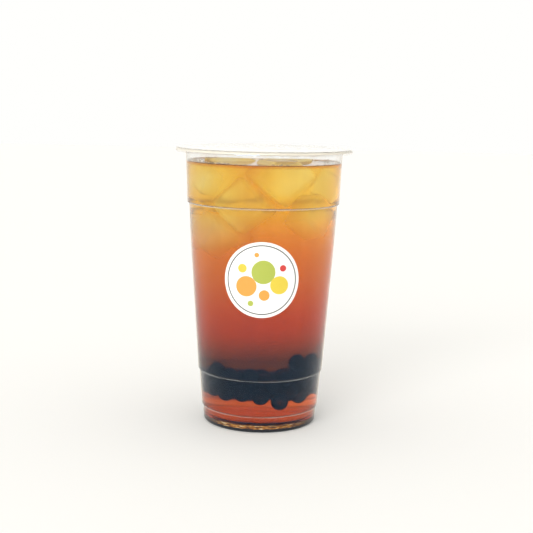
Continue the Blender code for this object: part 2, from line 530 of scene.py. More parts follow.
@dataclass(frozen=True)
class CloudyIce:
    """Machine-made ice: part clear and part white with fine bubbles, so it looks soft and milky in the tea.

    Attributes:
        ior: Ice's index of refraction.
        ior_in_drink: The small step in index from the drink to the ice.
        tint: The colour of its clouds.
        tint_on_top: The same where it stands out of the drink.
        clear_share: The mean share of light that goes through.
        clear_share_on_top: The same where it stands out of the drink.
        clouds: By how much that share differs from patch to patch.
        roughness: That of a face that melts.
    """

    ior: float = 1.31
    ior_in_drink: float = 1.01
    tint: str = "#fffbe6"
    tint_on_top: str = "#fff0c6"
    clear_share: float = 0.965
    clear_share_on_top: float = 0.6
    clouds: float = 0.05
    roughness: float = 0.3

    def in_air(self) -> Material:
        """The ice that stands out of the drink: wet and whitish."""
        return self.cloudy("ice_machine_made_wet_top", self.clear_share_on_top, self.tint_on_top, self.ior)

    def in_drink(self) -> Material:
        """The ice in the drink, where only its clouds and faint edges show."""
        return self.cloudy("ice_machine_made_sunk", self.clear_share, self.tint, self.ior_in_drink)

    def cloudy(self, name: str, clear: float, tint: str, ior: float) -> Material:
        """Ice that is cloudier in soft patches.

        Args:
            name: The material's name.
            clear: The mean share of light that goes through.
            tint: The colour of its clouds.
            ior: Its index of refraction.

        Returns:
            The material.
        """
        look = {"Base Color": linear(tint), "Roughness": self.roughness, "IOR": ior}
        material, tree, shader = new_material(name, look)
        ends = {"From Min": 0.35, "From Max": 0.65}
        ends |= {"To Min": clear - self.clouds / 2, "To Max": clear + self.clouds / 2}
        patches = mottle(tree, size_mm=(14.0, 14.0, 14.0), detail=3.0)
        share = add_node(tree, "MapRange", {"Value": patches} | ends)
        feed(shader, {"Transmission Weight": share})
        return material


@dataclass(frozen=True)
class CookedTapioca:
    """Tapioca cooked in dark sugar: near black, smooth and wet, with a slightly uneven skin, and a painted
    cool blue in its colours for the daylight it reflects.
    """

    # Near black, with a painted cool blue standing in for reflected daylight.
    dark: str = "#10203f"
    brown_with_painted_blue: str = "#181d30"
    roughness: float = 0.22

    def material(self) -> Material:
        """The pearls' shader.

        Returns:
            The material.
        """
        look = {"Roughness": self.roughness, "Specular IOR Level": 0.2}
        material, tree, shader = new_material("tapioca_cooked_dark_sugar", look)
        patches = mottle(tree, size_mm=(7.0, 7.0, 7.0))
        colour = add_node(tree, "ValToRGB", {0: patches}, ((0.35, self.dark), (0.7, self.brown_with_painted_blue)))
        skin = mottle(tree, size_mm=(0.8, 0.8, 0.8))
        bump = add_node(tree, "Bump", {"Height": skin, "Strength": 0.2, "Distance": 0.1 * MM})
        feed(shader, {"Base Color": colour, "Normal": bump})
        return material


@dataclass(frozen=True)
class TeaBubbles:
    """The thin wet skin of bubbles on tea: clear, with a white rim.

    Attributes:
        ior: The small step in index that draws a bubble's rim.
        cream: The colour of its less white patches.
        white: That of the others.
        clear_share: The share of light that goes through.
        roughness: Almost none.
    """

    ior: float = 1.04
    cream: str = "#faf0d8"
    white: str = "#fffdf8"
    clear_share: float = 0.75
    roughness: float = 0.08

    def material(self) -> Material:
        """The bubbles' shader.

        Returns:
            The material.
        """
        look = {"Roughness": self.roughness, "IOR": self.ior, "Transmission Weight": self.clear_share}
        material, tree, shader = new_material("tea_bubbles_thin_skin", look)
        patches = mottle(tree, size_mm=(3.0, 3.0, 3.0))
        colour = add_node(tree, "ValToRGB", {0: patches}, ((0.35, self.cream), (0.65, self.white)))
        feed(shader, {"Base Color": colour})
        return material


@dataclass(frozen=True)
class SealingFilm:
    """Heat-sealed polypropylene film: thin, clear and drawn tight, whitish at low angles.

    Attributes:
        ior: Polypropylene's index of refraction.
        tint: Of the flat film.
        painted_reflection_streak: Of its faint grey streaks, which are painted reflections.
        fold_mm: The streaks' size along X, Y and Z.
        roughness: That of a smooth sheet.
        clear_share: The share of light that goes through.
        bloom: The warm white of its sheen.
        bloom_share: How strong that is.
        bloom_spread: From how far towards the eye it shows.
    """

    ior: float = 1.49
    tint: str = "#ffffff"
    painted_reflection_streak: str = "#e6e3dc"
    fold_mm: Triple = (9.0, 60.0, 9.0)
    roughness: float = 0.03
    clear_share: float = 0.88
    bloom: str = "#fffaf0"
    bloom_share: float = 0.6
    bloom_spread: float = 0.16

    def material(self) -> Material:
        """The film's shader: faint long streaks of painted reflection in clear film, and a sheen that whitens
        it towards the rim.

        Returns:
            The material.
        """
        look = {"Roughness": self.roughness, "IOR": self.ior, "Transmission Weight": self.clear_share}
        look |= {"Sheen Weight": self.bloom_share, "Sheen Roughness": self.bloom_spread}
        look |= {"Sheen Tint": linear(self.bloom)}
        material, tree, shader = new_material("polypropylene_film_heat_sealed", look)
        # Faint grey streaks: painted reflections on the clear film.
        stops = ((0.58, self.tint), (0.61, self.painted_reflection_streak), (0.64, self.tint))
        reflection_streaks = add_node(tree, "ValToRGB", {0: mottle(tree, self.fold_mm, detail=3.0)}, stops)
        feed(shader, {"Base Color": reflection_streaks})
        return material


@dataclass(frozen=True)
class PrintedPaper:
    """Coated white sticker paper with flat printed dots: clean, satin, with crisp edges of ink.

    Attributes:
        paper: The paper's white.
        ring_ink: The ring's dark ink.
        radius_mm: The sticker's radius.
        ring_mm: The printed ring's outer and inner radius.
        dots_mm: Printed dots: place across and up from the middle, radius, and colour.
    """

    paper: str = "#eae9e5"
    ring_ink: str = "#1e2021"
    radius_mm: float = 20.0
    ring_mm: Point = (18.35, 17.85)
    dots_mm: tuple[tuple[float, float, float, str], ...] = (
        (-8.0, -3.4, 5.4, "#d6983f"),
        (0.8, 4.2, 6.2, "#a5b048"),
        (9.2, -2.6, 4.8, "#d6be3e"),
        (1.4, -8.0, 2.8, "#d6983f"),
        (-10.2, 6.0, 2.3, "#d6be3e"),
        (11.0, 6.3, 1.7, "#c63a36"),
        (-2.8, 13.2, 1.2, "#d6983f"),
        (-5.6, -12.4, 1.5, "#a5b048"),
    )

    def material(self) -> Material:
        """The label's shader, drawn disc over disc on the sticker's own flat map.

        Returns:
            The material.
        """
        material, tree, shader = new_material("sticker_paper_coated_printed", {"Roughness": 0.38})
        place = add_node(tree, "UVMap", uv_map=FLAT_MAP)
        unit = 2 * self.radius_mm
        outer, inner = self.ring_mm
        colour = linear(self.paper)
        for across, up, radius, ink in (
            (0.0, 0.0, outer, self.ring_ink),
            (0.0, 0.0, inner, self.paper),
            *self.dots_mm,
        ):
            centre = (MAP_MIDDLE + across / unit, MAP_MIDDLE + up / unit, 0)
            away = add_node(tree, "VectorMath", {0: place, 1: centre}, operation="DISTANCE").outputs["Value"]
            inside = add_node(tree, "Math", {0: away, 1: radius / unit}, operation="LESS_THAN")
            parts = {MIX_SHARE: inside, MIX_FIRST: colour, MIX_SECOND: linear(ink)}
            colour = add_node(tree, "Mix", parts, data_type="RGBA").outputs[MIX_RESULT]
        feed(shader, {"Base Color": colour})
        return material


@dataclass(frozen=True)
class StudioWhite:
    """Smooth matt white board, as the photo's bright floor and backdrop."""

    tint: str = "#fbfaf7"

    def material(self) -> Material:
        """The floor's shader."""
        look = {"Base Color": linear(self.tint), "Roughness": 0.7, "Specular IOR Level": 0.2}
        return new_material("studio_board_matt_white", look)[0]


@dataclass
class Cup:
    """The tall clear cup: a thin turned wall with two stacking ledges, a turned-down lip and a ring foot.

    Attributes:
        upper_ledge: The wall's radius over it, and its height, as for each ledge.
        waist: Radius and height of the slight bend in the wall between the ledges.
        ledge_drop: The height over which a ledge steps in.
        edge_band: The band over it that takes the painted highlight line.
        taper: How much the wall widens per height.
        painted_glow_heights: Between which heights the foot shows golden specks of painted light.
        lip_zone: The height over which the plastic is clouded.
        wet_level: How high the drink wets the wall.
        upright: From which upward tilt of a face it counts as seen from inside.
    """

    rim_radius: float = 47.5 * MM
    lip_top: float = 149.75 * MM
    lip_bottom: float = 147.5 * MM
    lip_bend: float = 0.9 * MM
    neck_bend: float = 3.6 * MM
    neck_radius: float = 42.0 * MM
    upper_ledge: Point = (41.1 * MM, 120.0 * MM)
    upper_ledge_depth: float = 1.0 * MM
    waist: Point = (39.05 * MM, 100.0 * MM)
    lower_ledge: Point = (34.1 * MM, 28.6 * MM)
    lower_ledge_depth: float = 0.7 * MM
    foot_ledge: Point = (31.9 * MM, 8.5 * MM)
    foot_ledge_depth: float = 0.8 * MM
    ledge_drop: float = 0.6 * MM
    edge_band: float = 0.2 * MM
    taper: float = 0.035
    painted_glow_heights: Point = (2.0 * MM, 4.0 * MM)
    lip_zone: float = 148.0 * MM
    foot_bend: float = 1.4 * MM
    foot_radius: float = 30.8 * MM
    foot_flat: float = 2.6 * MM
    floor_edge: Point = (25.5 * MM, 3.8 * MM)
    floor_centre: float = 4.4 * MM
    wall: float = 0.7 * MM
    steps: int = 192
    bend_steps: int = 8
    wet_level: float = 142.6 * MM
    upright: float = 0.3
    finish: ClearPolypropylene = field(default_factory=ClearPolypropylene)

    def ledge(self, top: Point, depth: float) -> list[Point]:
        """A stacking ledge, where the wall steps in on its way down, with softened corners.

        Args:
            top: The wall's radius and the ledge's height.
            depth: How far the wall steps in.

        Returns:
            Points of an S-shaped step.
        """
        lift = self.ledge_drop / 2 + self.edge_band
        points = [(top[0] + lift * self.taper, top[1] + lift)]
        for i in range(self.bend_steps + 1):
            share = i / self.bend_steps
            eased = share * share * (3 - 2 * share)
            points.append((top[0] - depth * eased, top[1] + self.ledge_drop * (0.5 - share)))
        return points

    def outline(self) -> list[Point]:
        """The outer face from the lip's edge, over the neck and down to the middle of the floor.

        Returns:
            Points (radius, height).
        """
        flange = self.lip_top - self.wall
        lip = (self.rim_radius - self.wall - self.lip_bend, flange - self.lip_bend)
        neck = (self.neck_radius + self.neck_bend, flange - self.neck_bend)
        foot = (self.foot_radius - self.foot_bend, self.foot_bend)
        points = [(self.rim_radius - self.wall, self.lip_bottom)]
        points += arc(lip, self.lip_bend, 0, QUARTER_TURN, self.bend_steps)
        points += arc(neck, self.neck_bend, QUARTER_TURN, 2 * QUARTER_TURN, self.bend_steps)
        points += self.ledge(self.upper_ledge, self.upper_ledge_depth)
        points.append(self.waist)
        points += self.ledge(self.lower_ledge, self.lower_ledge_depth)
        points += self.ledge(self.foot_ledge, self.foot_ledge_depth)
        foot_top = self.foot_ledge[0] - self.foot_ledge_depth
        for height in self.painted_glow_heights[::-1]:
            share = (self.foot_ledge[1] - height) / (self.foot_ledge[1] - self.foot_bend)
            points.append((foot_top + share * (self.foot_radius - foot_top), height))
        points += arc(foot, self.foot_bend, 0, -QUARTER_TURN, self.bend_steps)
        points.append((foot[0] - self.foot_flat, 0.0))
        points.append(self.floor_edge)
        points.append((0.0, self.floor_centre))
        return points

    def inwards(self, distance: float) -> list[Point]:
        """The outline moved into the cup, with mitred corners.

        Args:
            distance: How far it is moved.

        Returns:
            Points (radius, height).
        """
        outline = [Vector(point) for point in self.outline()]
        moved = []
        for i, here in enumerate(outline):
            ways = []
            if i > 0:
                ways.append(here - outline[i - 1])
            if i + 1 < len(outline):
                ways.append(outline[i + 1] - here)
            sides = [Vector((way.y, -way.x)).normalized() for way in ways if way.length > WELD]
            middle = sum(sides, Vector((0, 0))).normalized()
            moved.append(tuple(here + middle * distance / middle.dot(sides[0])))
        moved[-1] = (0.0, moved[-1][1])
        return moved

    def radius_at(self, height: float) -> float:
        """The outer radius of the wall.

        Args:
            height: A height between the foot and the neck.

        Returns:
            The radius there.
        """
        outline = self.outline()
        for upper, lower in zip(outline, outline[1:]):
            if lower[1] <= height <= upper[1] and upper[1] > lower[1]:
                share = (height - lower[1]) / (upper[1] - lower[1])
                return lower[0] + share * (upper[0] - lower[0])
        raise ValueError(f"no wall at {height}")

    def at_ledge(self, height: float) -> bool:
        """Whether a height lies on one of the ledges.

        Args:
            height: The height.

        Returns:
            True on a ledge or on the band over it.
        """
        ledges = (self.upper_ledge[1], self.lower_ledge[1], self.foot_ledge[1])
        half = self.ledge_drop / 2
        return any(-half < height - ledge < half + self.edge_band for ledge in ledges)

    def kind_of(self, face: bmesh.types.BMFace) -> CupFace:
        """Which finish a face takes.

        Args:
            face: A face of the wall.

        Returns:
            The kind of face.
        """
        middle = face.calc_center_median()
        outward = face.normal.dot(Vector((middle.x, middle.y, 0)).normalized())
        inside = outward < 0 or face.normal.z > self.upright
        under_floor = middle.z < self.floor_centre and outward < 0 and face.normal.z < 0
        if under_floor or (inside and middle.z < self.wet_level):
            return CupFace.WETTED
        if middle.z > self.lip_zone:
            return CupFace.CLOUDED
        if self.at_ledge(middle.z):
            return CupFace.UPPER_LEDGE if middle.z > self.waist[1] else CupFace.LOWER_LEDGE
        if inside or middle.z > self.painted_glow_heights[1]:
            return CupFace.DRY
        # Painted light on the foot's wall, painted shade on its bend.
        return CupFace.AMBER_FOOT if middle.z > self.painted_glow_heights[0] else CupFace.DARK_FOOT

    def build(self) -> None:
        """The cup as one closed wall, each kind of face with its own finish."""
        shape = bmesh.new()
        inner = self.inwards(self.wall)
        spin_outline(shape, [inner[0]] + self.outline(), self.steps)
        spin_outline(shape, inner[::-1], self.steps)
        weld(shape)
        for face in shape.faces:
            face.material_index = self.kind_of(face)
        plastic = self.finish
        finishes = {
            CupFace.DRY: plastic.dry(),
            CupFace.WETTED: plastic.wetted(),
            CupFace.CLOUDED: plastic.clouded(),
            CupFace.AMBER_FOOT: plastic.painted_glow_foot(),
            CupFace.DARK_FOOT: plastic.painted_shade_foot(),
            CupFace.UPPER_LEDGE: plastic.painted_highlight_line("clear_polypropylene_upper_ledge_painted_highlight", plastic.upper_line),
            CupFace.LOWER_LEDGE: plastic.painted_highlight_line("clear_polypropylene_lower_ledges_painted_highlight", plastic.lower_line),
        }
        finish_piece(make_piece("cup_wall", shape, [finishes[kind] for kind in CupFace]), Slot.CUP, "cup")


@dataclass
class IceBlock:
    """One machine-made ice cube, with worn corners and uneven faces.

    Attributes:
        middle_mm: Where its middle lies.
        side_mm: Its edge length.
        turns: Its turns about X, Y and Z in degrees.
        top: The height over which it has melted off.
        drink_level: Where the drink's surface crosses it.
        rounding: The radius of its worn corners.
        CELLS: The cuts across each long edge, so that its faces can be uneven.
        LONG_EDGE: How many times the rounding a long edge measures.
        DENT: How far its faces swell and sink.
        DENT_WIDTH: Over which width.
    """

    middle_mm: Triple
    side_mm: float
    turns: Triple
    top: float = 144.0 * MM
    drink_level: float = 142.0 * MM
    rounding: float = 2.6 * MM

    CELLS = 5
    CORNER_STEPS = 4
    LONG_EDGE = 4
    DENT = 0.35 * MM
    DENT_WIDTH = 9.0 * MM

    @staticmethod
    def cut_level(block: BMesh, height: float, clear: bool) -> list[bmesh.types.BMEdge]:
        """Cuts a cube's mesh along a level plane.

        Args:
            block: The mesh.
            height: The plane's height.
            clear: Whether what lies over it goes.

        Returns:
            The edges in the plane.
        """
        cut = bmesh.ops.bisect_plane(
            block,
            geom=block.verts[:] + block.edges[:] + block.faces[:],
            plane_co=(0, 0, height),
            plane_no=(0, 0, 1),
            clear_outer=clear,
        )
        return [item for item in cut["geom_cut"] if isinstance(item, bmesh.types.BMEdge)]

    def add_to(self, shape: BMesh, grow: float = 0.0) -> None:
        """Adds the cube to a bmesh.

        Args:
            shape: The bmesh that gets it.
            grow: How much larger it is made on each side.
        """
        block = bmesh.new()
        bmesh.ops.create_cube(block, size=self.side_mm * MM + 2 * grow)
        bmesh.ops.bevel(
            block,
            geom=block.edges[:],
            offset=self.rounding + grow,
            segments=self.CORNER_STEPS,
            profile=0.5,
            affect="EDGES",
            clamp_overlap=True,
            material=-1,
        )
        long_edges = [edge for edge in block.edges if edge.calc_length() > self.LONG_EDGE * self.rounding]
        bmesh.ops.subdivide_edges(block, edges=long_edges, cuts=self.CELLS, use_grid_fill=True)
        turn = Euler([math.radians(angle) for angle in self.turns]).to_matrix().to_4x4()
        for corner in block.verts:
            dent = noise.noise((corner.co + Vector(self.middle_mm) * MM) / self.DENT_WIDTH)
            corner.co += corner.co.normalized() * dent * self.DENT
        place = Matrix.Translation(Vector(self.middle_mm) * MM) @ turn
        bmesh.ops.transform(block, matrix=place, verts=block.verts)
        rim = self.cut_level(block, self.top + grow, True)
        if rim:
            bmesh.ops.contextual_create(block, geom=rim)
            self.cut_level(block, self.drink_level, False)
        bmesh.ops.recalc_face_normals(block, faces=block.faces)
        pour(block, shape)


@dataclass
class Ice:
    """All the ice: three cubes that break the surface, and the cubes sunk below them.

    Attributes:
        afloat: The cubes that break the surface, by the names of their solids.
        sunk: The others.
        open_to: How high the drink is hollowed round the floating cubes.
    """

    afloat: dict[str, IceBlock] = field(
        default_factory=lambda: {
            "ice_front": IceBlock((8.5, -15.5, 136.5), 22.5, (8, 43, 20)),
            "ice_back_left": IceBlock((-19.0, 8.5, 133.5), 23.0, (12, 24, -35)),
            "ice_back_right": IceBlock((12.0, 17.0, 133.0), 22.5, (-16, 14, 28)),
        }
    )
    sunk: list[IceBlock] = field(
        default_factory=lambda: [
            IceBlock((-9.7, -19.4, 120.9), 21.0, (-10, 46, -21)),
            IceBlock((22.7, -14.7, 115.2), 17.8, (-9, 39, 47)),
            IceBlock((-26.8, -14.1, 133.1), 12.6, (25, 9, 27)),
            IceBlock((-22.4, -10.2, 104.8), 17.8, (32, 26, 29)),
            IceBlock((28.8, -3.1, 131.4), 15.0, (8, 28, 12)),
            IceBlock((-17.0, 14.5, 106.0), 20.0, (8, -12, -18)),
        ]
    )
    open_to: float = 149 * MM
    finish: CloudyIce = field(default_factory=CloudyIce)

    def hollows(self, shrink: float) -> bpy.types.Object:
        """All the cubes a little smaller, as one cutter for the drink.

        Args:
            shrink: How much smaller on each side.

        Returns:
            The cutter.
        """
        shape = bmesh.new()
        for block in self.afloat.values():
            replace(block, top=self.open_to).add_to(shape, -shrink)
        for block in self.sunk:
            block.add_to(shape, -shrink)
        mesh = bpy.data.meshes.new("ice_hollows")
        shape.to_mesh(mesh)
        shape.free()
        return bpy.data.objects.new("ice_hollows", mesh)

    def build(self) -> None:
        """The cubes that show above the drink, one piece each, and those below it as one piece."""
        finishes = [self.finish.in_drink(), self.finish.in_air()]
        for name, block in self.afloat.items():
            shape = bmesh.new()
            block.add_to(shape)
            for face in shape.faces:
                face.material_index = int(face.calc_center_median().z > block.drink_level)
            finish_piece(make_piece(name + "_block", shape, finishes), Slot.ICE, name)
        shape = bmesh.new()
        for block in self.sunk:
            block.add_to(shape)
        finish_piece(make_piece("ice_sunk", shape, finishes[:1]), Slot.ICE)


@dataclass
class Tea:
    """The drink: it reaches just into the wall, climbs a little there, and is hollow round the ice.

    Attributes:
        CLIMB_WIDTHS: Over how many of its widths the climb is drawn.
        climb: How high its edge climbs at the wall.
        climb_width: Over which width that dies away.
        upright: From which upward tilt a face is part of the surface.
        skin: Faces nearer to the wall than this touch the wall.
        ice_from: Below this height there is no ice.
    """

    CLIMB_WIDTHS = 5

    cup: Cup
    level: float = 142.0 * MM
    into_wall: float = 0.1 * MM
    into_ice: float = 0.1 * MM
    climb: float = 0.6 * MM
    climb_width: float = 1.1 * MM
    climb_steps: int = 8
    upright: float = 0.3
    skin: float = 2.0 * MM
    ice_from: float = 60.0 * MM
    finish: BrewedTea = field(default_factory=BrewedTea)

    def outline(self) -> list[Point]:
        """The drink from the middle of its surface out, up the wall, and down to the middle of the floor.

        Returns:
            Points (radius, height).
        """
        inner = self.cup.inwards(self.cup.wall - self.into_wall)
        top = self.level + self.climb
        below = [point for point in inner if point[1] < top]
        above = inner[len(inner) - len(below) - 1]
        share = (top - below[0][1]) / (above[1] - below[0][1])
        edge = below[0][0] + share * (above[0] - below[0][0])
        reach = self.CLIMB_WIDTHS * self.climb_width
        surface = [(0.0, self.level)]
        for i in range(self.climb_steps + 1):
            back = reach * (1 - i / self.climb_steps) ** 2
            surface.append((edge - back, self.level + self.climb * math.exp(-back / self.climb_width)))
        return surface + below

    def touched_by(self, face: bpy.types.MeshPolygon) -> Touch:
        """What one face of the hollowed drink touches.

        Args:
            face: The face.

        Returns:
            What it touches.
        """
        reach = math.hypot(face.center.x, face.center.y)
        if face.normal.z > self.upright and face.center.z > self.level - WELD:
            return Touch.AIR
        if face.center.z > self.ice_from and reach < self.cup.radius_at(face.center.z) - self.skin:
            return Touch.ICE
        return Touch.WALL

    def build(self, ice: Ice) -> None:
        """The drink with the ice's hollows cut out.

        Args:
            ice: All the ice.
        """
        shape = bmesh.new()
        spin_outline(shape, self.outline(), self.cup.steps)
        weld(shape)
        drink = make_piece("tea_drink", shape, [self.finish.material()])
        cutter = ice.hollows(self.into_ice)
        bpy.context.scene.collection.objects.link(cutter)
        cut = drink.modifiers.new("room for the ice", "BOOLEAN")
        cut.object = cutter
        cut.operation = "DIFFERENCE"
        graph = bpy.context.evaluated_depsgraph_get()
        hollowed = bpy.data.meshes.new_from_object(drink.evaluated_get(graph))
        drink.modifiers.clear()
        drink.data = hollowed
        hollowed.name = "tea_drink"
        touches = hollowed.attributes.new(TOUCH_VALUE, "FLOAT", "FACE")
        for face, value in zip(hollowed.polygons, touches.data):
            value.value = self.touched_by(face).value
        hollowed.shade_smooth()
        hollowed.set_sharp_from_angle(angle=SMOOTH_ANGLE)
        bpy.data.objects.remove(cutter)
        finish_piece(drink, Slot.TEA, "tea")


@dataclass
class PearlHeap:
    """Cooked tapioca pearls, crowded together a little above the floor.

    Attributes:
        count: How many there are.
        radius: Their mean radius.
        uneven: By how much of that they differ.
        set_mm: The middles of the front ones, which stay where the photo shows them.
        low: The height under the lowest.
        high: How high they start.
        spread: How far from the axis they start.
        tilt: How much the underside rises towards the front, and towards the back.
        lift_left: From where towards -X the underside rises, and how steeply.
        tops_mm: The heap's top at some places along X.
        fall: How much it drops towards the back.
        clearance: Between a pearl and the wall.
        push: The share of an overlap that one round takes away.
        sink: How far they sink in a round.
        squash: The least and the greatest stretch of one along its axes.
        cuts: The segments of one, round and up.
    """

    cup: Cup
    set_mm: tuple[Triple, ...] = (
        (-25.0, -10.7, 26.0),
        (-17.5, -20.8, 20.4),
        (-9.0, -25.7, 21.0),
        (0.5, -27.2, 19.7),
        (10.5, -25.1, 16.3),
        (20.5, -17.9, 19.0),
        (18.5, -22.5, 37.6),
        (25.5, -13.5, 35.8),
        (20.5, -18.0, 28.6),
        (12.6, -22.6, 28.6),
        (-20.0, -13.0, 30.8),
        (-14.5, -19.5, 29.2),
        (-5.0, -23.5, 29.8),
        (0.5, -12.0, 27.6),
        (27.0, -6.5, 21.5),
    )
    count: int = 64
    radius: float = 4.9 * MM
    uneven: float = 0.07
    low: float = 14.0 * MM
    tilt: Point = (0.08, 0.0)
    lift_left: Point = (20.0 * MM, 0.7)
    high: float = 30.0 * MM
    spread: float = 28 * MM
    tops_mm: tuple[Point, ...] = (
        (-32.0, 32.0),
        (-20.0, 36.5),
        (-12.0, 35.0),
        (0.0, 32.5),
        (8.0, 33.0),
        (15.0, 40.0),
        (32.0, 41.0),
    )
    fall: float = 0.14
    clearance: float = 0.5 * MM
    push: float = 0.35
    sink: float = 0.02 * MM
    squash: Point = (0.96, 1.03)
    cuts: tuple[int, int] = (24, 14)
    rounds: int = 260
    seed: int = 7
    finish: CookedTapioca = field(default_factory=CookedTapioca)

    def wall_radius(self, heights: np.ndarray) -> np.ndarray:
        """The inner radius of the cup.

        Args:
            heights: Some heights above the foot.

        Returns:
            The radius at each.
        """
        line = self.cup.inwards(self.cup.wall)
        floor = self.cup.foot_radius - self.cup.foot_flat
        rows = sorted((height, radius) for radius, height in line if radius > floor)
        return np.interp(heights, [row[0] for row in rows], [row[1] for row in rows])

    def pull_in(self, places: np.ndarray, radii: np.ndarray) -> np.ndarray:
        """Moves pearls that come too near the wall towards the middle.

        Args:
            places: Their middles.
            radii: Their radii.

        Returns:
            Their new middles.
        """
        across = np.hypot(places[:, 0], places[:, 1])
        room = self.wall_radius(places[:, 2]) - radii - self.clearance
        squeeze = np.minimum(1, room / np.maximum(across, WELD))
        return np.column_stack([places[:, :2] * squeeze[:, None], places[:, 2]])

    def settle(self) -> tuple[np.ndarray, np.ndarray]:
        """Lets the pearls push each other apart inside the cup.

        Returns:
            Their middles and their radii.
        """
        dice = np.random.default_rng(self.seed)
        radii = self.radius * (1 + self.uneven * dice.uniform(-1, 1, self.count))
        angle = dice.uniform(0, FULL_TURN, self.count)
        reach = self.spread * np.sqrt(dice.uniform(0, 1, self.count))
        heights = dice.uniform(self.low, self.high, self.count)
        places = np.column_stack([reach * np.cos(angle), reach * np.sin(angle), heights])
        front = self.pull_in(np.array(self.set_mm) * MM, radii[: len(self.set_mm)])
        tops = np.array(self.tops_mm) * MM
        for _ in range(self.rounds):
            places[: len(front)] = front
            apart = places[:, None] - places[None]
            gap = np.linalg.norm(apart, axis=2) + np.eye(self.count)
            need = radii[:, None] + radii[None] - gap
            np.fill_diagonal(need, 0)
            push = np.clip(need, 0, None)[..., None] * apart / gap[..., None]
            places += self.push * push.sum(axis=1)
            places[:, 2] -= self.sink
            places = self.pull_in(places, radii)
            tilt = np.where(places[:, 1] < 0, *self.tilt)
            lift_from, lift_rate = self.lift_left
            lift = lift_rate * np.clip(-places[:, 0] - lift_from, 0, None)
            least = self.low - tilt * places[:, 1] + radii + lift
            back = places[:, 1] + self.cup.foot_radius
            most = np.interp(places[:, 0], tops[:, 0], tops[:, 1]) - radii - self.fall * back
            places[:, 2] = np.maximum(np.minimum(places[:, 2], most), least)
        places[: len(front)] = front
        return places, radii

    def build(self) -> None:
        """All the pearls as one piece."""
        places, radii = self.settle()
        dice = np.random.default_rng(self.seed + 1)
        shape = bmesh.new()
        for place, radius in zip(places, radii):
            squash = Matrix.Diagonal((*dice.uniform(*self.squash, 3), 1.0))
            turn = Euler(dice.uniform(0, FULL_TURN, 3)).to_matrix().to_4x4()
            pearl = bmesh.new()
            bmesh.ops.create_uvsphere(
                pearl,
                u_segments=self.cuts[0],
                v_segments=self.cuts[1],
                radius=radius,
                matrix=Matrix.Translation(place) @ turn @ squash,
            )
            pour(pearl, shape)
        piece = make_piece("tapioca_pearls", shape, [self.finish.material()])
        piece.data.shade_smooth()
        finish_piece(piece, Slot.PEARLS)


@dataclass
class Bubbles:
    """Small bubbles along the edge of the drink's surface, crowded at the front left, the front and the back.

    Attributes:
        count: How many there are.
        sizes: The least and the greatest radius.
        shrink: The least and the greatest share of that, drawn once more for each.
        crowded_at: Angles round the axis, in degrees, where they crowd, each with its spread and share.
        level: The height of the drink's edge.
        out: The share of its radius that a bubble's middle stands over that.
        off_wall: How many radii it keeps from the wall.
        spread: How far from the wall they lie.
    """

    cup: Cup
    count: int = 150
    sizes: Point = (0.25 * MM, 0.7 * MM)
    shrink: Point = (0.6, 1.0)
    crowded_at: tuple[Triple, ...] = ((-140.0, 22.0, 0.35), (-85.0, 28.0, 0.3), (90.0, 90.0, 0.35))
    level: float = 142.2 * MM
    out: float = 0.7
    off_wall: float = 1.1
    spread: float = 2.4 * MM
    seed: int = 11
    finish: TeaBubbles = field(default_factory=TeaBubbles)

    def build(self) -> None:
        """All the bubbles as one piece."""
        dice = np.random.default_rng(self.seed)
        shape = bmesh.new()
        crowds = dice.choice(len(self.crowded_at), self.count, p=[share for _, _, share in self.crowded_at])
        for crowd in crowds:
            middle, spread, _ = self.crowded_at[crowd]
            angle = math.radians(dice.normal(middle, spread))
            radius = dice.uniform(*self.sizes) * dice.uniform(*self.shrink)
            edge = self.cup.radius_at(self.level) - self.cup.wall - radius * self.off_wall
            reach = edge - abs(dice.normal(0, self.spread))
            place = (reach * math.cos(angle), reach * math.sin(angle), self.level + self.out * radius)
            bubble = bmesh.new()
            at = Matrix.Translation(place)
            bmesh.ops.create_icosphere(bubble, subdivisions=2, radius=radius, matrix=at)
            pour(bubble, shape)
        piece = make_piece("surface_bubbles", shape, [self.finish.material()])
        piece.data.shade_smooth()
        finish_piece(piece, Slot.TEA)


